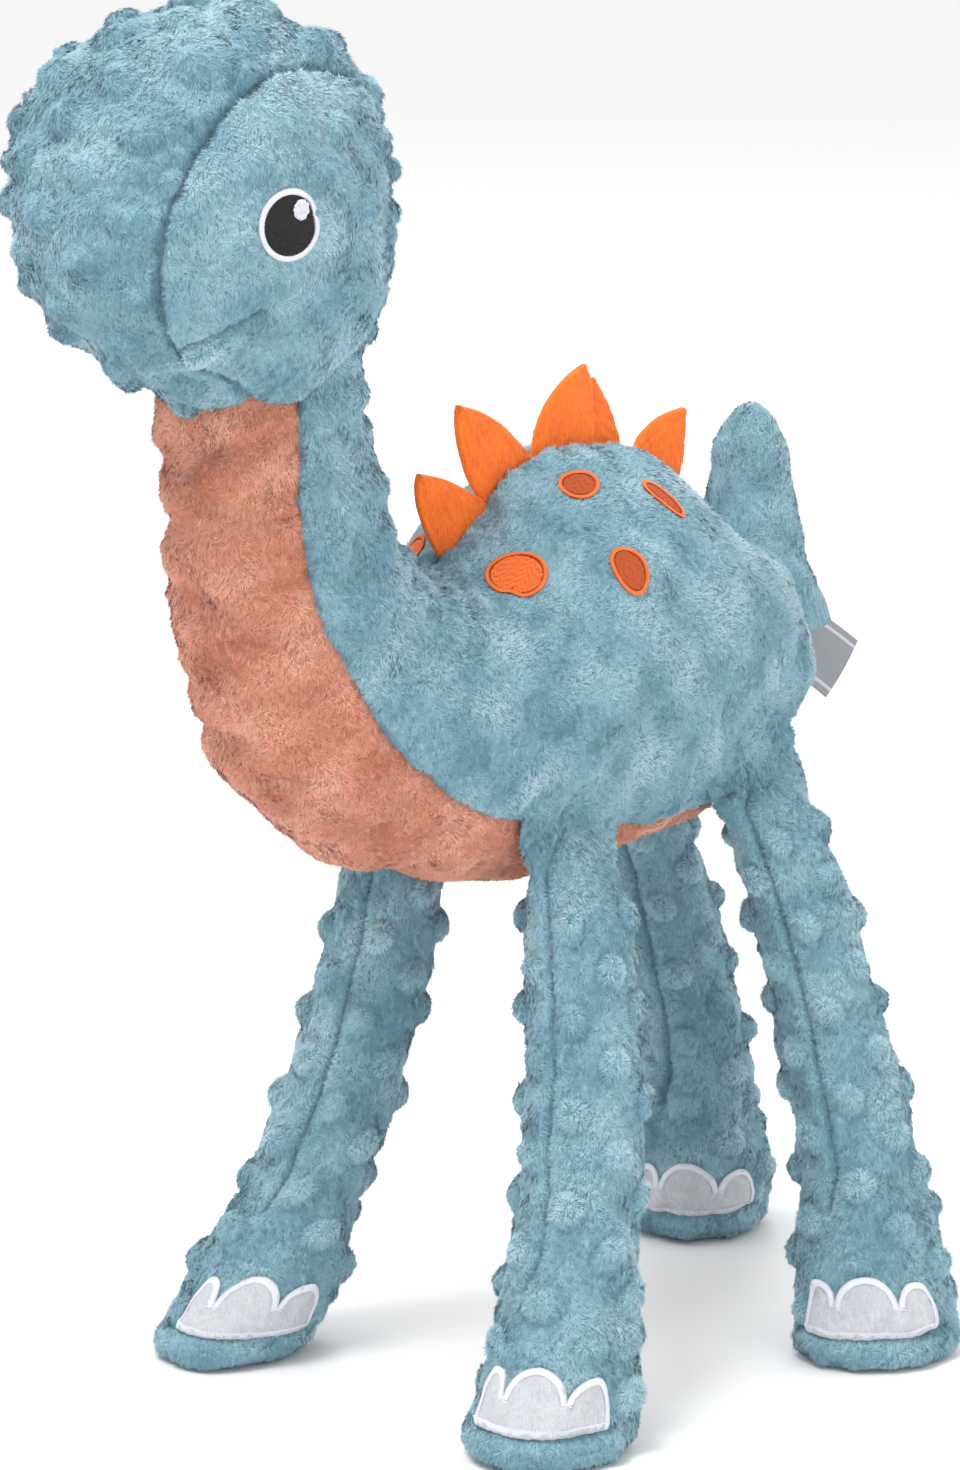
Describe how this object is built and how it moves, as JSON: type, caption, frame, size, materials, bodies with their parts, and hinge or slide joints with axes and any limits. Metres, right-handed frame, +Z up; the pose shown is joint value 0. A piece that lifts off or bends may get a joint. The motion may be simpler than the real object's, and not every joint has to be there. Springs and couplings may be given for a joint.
{
  "type": "stuffed dinosaur",
  "caption": "Soft long-necked stuffed dinosaur in dotted blue plush with a salmon front, felt back spikes and floppy legs that it stands on.",
  "frame": {"origin": "on the floor under the centre of the standing animal's bounding box", "axes": "+Z up, the animal faces -Y, and its left side is +X"},
  "size_m": [0.1858, 0.3626, 0.44],
  "materials": {
    "blue_plush": "raised-dot short plush",
    "salmon_plush": "smooth short plush",
    "filling": "polyester fibre filling",
    "orange_felt": "needled felt",
    "orange_thread": "satin-stitch embroidery",
    "white_felt": "felt with a stitched edge",
    "white_thread": "satin-stitch embroidery",
    "black_thread": "satin-stitch embroidery",
    "grey_label": "woven ribbon",
    "squeaker": "thin moulded plastic"
  },
  "bodies": {
    "torso": {"torso_left_cover": "blue_plush", "torso_right_cover": "blue_plush", "belly_cover": "salmon_plush", "torso_stuffing": "filling", "squeaker_bulb": "squeaker", "squeaker_reed": "squeaker", "spike_1": "orange_felt", "spike_2": "orange_felt", "spike_3": "orange_felt", "spike_4": "orange_felt", "spot_left_1": "orange_thread", "spot_left_2": "orange_thread", "spot_left_3": "orange_thread", "spot_left_4": "orange_thread", "spot_right_1": "orange_thread", "spot_right_2": "orange_thread", "spot_right_3": "orange_thread", "spot_right_4": "orange_thread", "side_label": "grey_label"},
    "neck": {"neck_left_cover": "blue_plush", "neck_right_cover": "blue_plush", "neck_front_cover": "salmon_plush", "neck_stuffing": "filling"},
    "head": {"head_gusset_cover": "blue_plush", "left_cheek_cover": "blue_plush", "right_cheek_cover": "blue_plush", "chin_cover": "blue_plush", "head_stuffing": "filling", "left_eye_ring": "white_thread", "left_eye_pupil": "black_thread", "left_eye_glint": "white_thread", "right_eye_ring": "white_thread", "right_eye_pupil": "black_thread", "right_eye_glint": "white_thread"},
    "tail": {"tail_left_cover": "blue_plush", "tail_right_cover": "blue_plush", "tail_stuffing": "filling"},
    "left_front_hip": {"left_front_leg_top": "blue_plush"},
    "left_front_leg": {"left_front_leg_cover": "blue_plush", "left_front_leg_stuffing": "filling", "left_front_sole": "blue_plush", "left_front_toe_patch": "white_felt"},
    "right_front_hip": {"right_front_leg_top": "blue_plush"},
    "right_front_leg": {"right_front_leg_cover": "blue_plush", "right_front_leg_stuffing": "filling", "right_front_sole": "blue_plush", "right_front_toe_patch": "white_felt"},
    "left_rear_hip": {"left_rear_leg_top": "blue_plush"},
    "left_rear_leg": {"left_rear_leg_cover": "blue_plush", "left_rear_leg_stuffing": "filling", "left_rear_sole": "blue_plush", "left_rear_toe_patch": "white_felt"},
    "right_rear_hip": {"right_rear_leg_top": "blue_plush"},
    "right_rear_leg": {"right_rear_leg_cover": "blue_plush", "right_rear_leg_stuffing": "filling", "right_rear_sole": "blue_plush", "right_rear_toe_patch": "white_felt"}
  },
  "joints": [
    {"name": "neck_bend", "type": "hinge", "parent": "torso", "child": "neck", "pos_m": [0, -0.0885, 0.269], "axis": [1, 0, 0], "range_deg": [-15, 30], "stiffness_Nm_per_rad": 0.8},
    {"name": "head_turn", "type": "hinge", "parent": "neck", "child": "head", "pos_m": [0, -0.098, 0.35], "axis": [0, 0, 1], "range_deg": [-45, 45], "stiffness_Nm_per_rad": 0.15},
    {"name": "tail_wag", "type": "hinge", "parent": "torso", "child": "tail", "pos_m": [0, 0.107, 0.263], "axis": [0, 1, 0], "range_deg": [-30, 30], "stiffness_Nm_per_rad": 0.05},
    {"name": "left_front_splay", "type": "hinge", "parent": "torso", "child": "left_front_hip", "pos_m": [0.0401, -0.011, 0.1847], "axis": [0, 1, 0], "range_deg": [-25, 8]},
    {"name": "left_front_swing", "type": "hinge", "parent": "left_front_hip", "child": "left_front_leg", "pos_m": [0.0443, -0.01193, 0.16001], "axis": [1, 0, 0], "range_deg": [-30, 12]},
    {"name": "right_front_splay", "type": "hinge", "parent": "torso", "child": "right_front_hip", "pos_m": [-0.0401, -0.008, 0.1847], "axis": [0, 1, 0], "range_deg": [-8, 25]},
    {"name": "right_front_swing", "type": "hinge", "parent": "right_front_hip", "child": "right_front_leg", "pos_m": [-0.04267, -0.00954, 0.16001], "axis": [1, 0, 0], "range_deg": [-30, 12]},
    {"name": "left_rear_splay", "type": "hinge", "parent": "torso", "child": "left_rear_hip", "pos_m": [0.036, 0.072, 0.192], "axis": [0, 0.8829, 0.4695], "range_deg": [-25, 8]},
    {"name": "left_rear_swing", "type": "hinge", "parent": "left_rear_hip", "child": "left_rear_leg", "pos_m": [0.04072, 0.08018, 0.16632], "axis": [1, 0, 0], "range_deg": [-12, 30]},
    {"name": "right_rear_splay", "type": "hinge", "parent": "torso", "child": "right_rear_hip", "pos_m": [-0.036, 0.076, 0.1926], "axis": [0, 0.8746, 0.4848], "range_deg": [-8, 25]},
    {"name": "right_rear_swing", "type": "hinge", "parent": "right_rear_hip", "child": "right_rear_leg", "pos_m": [-0.04026, 0.09294, 0.16684], "axis": [1, 0, 0], "range_deg": [-12, 30]}
  ]
}
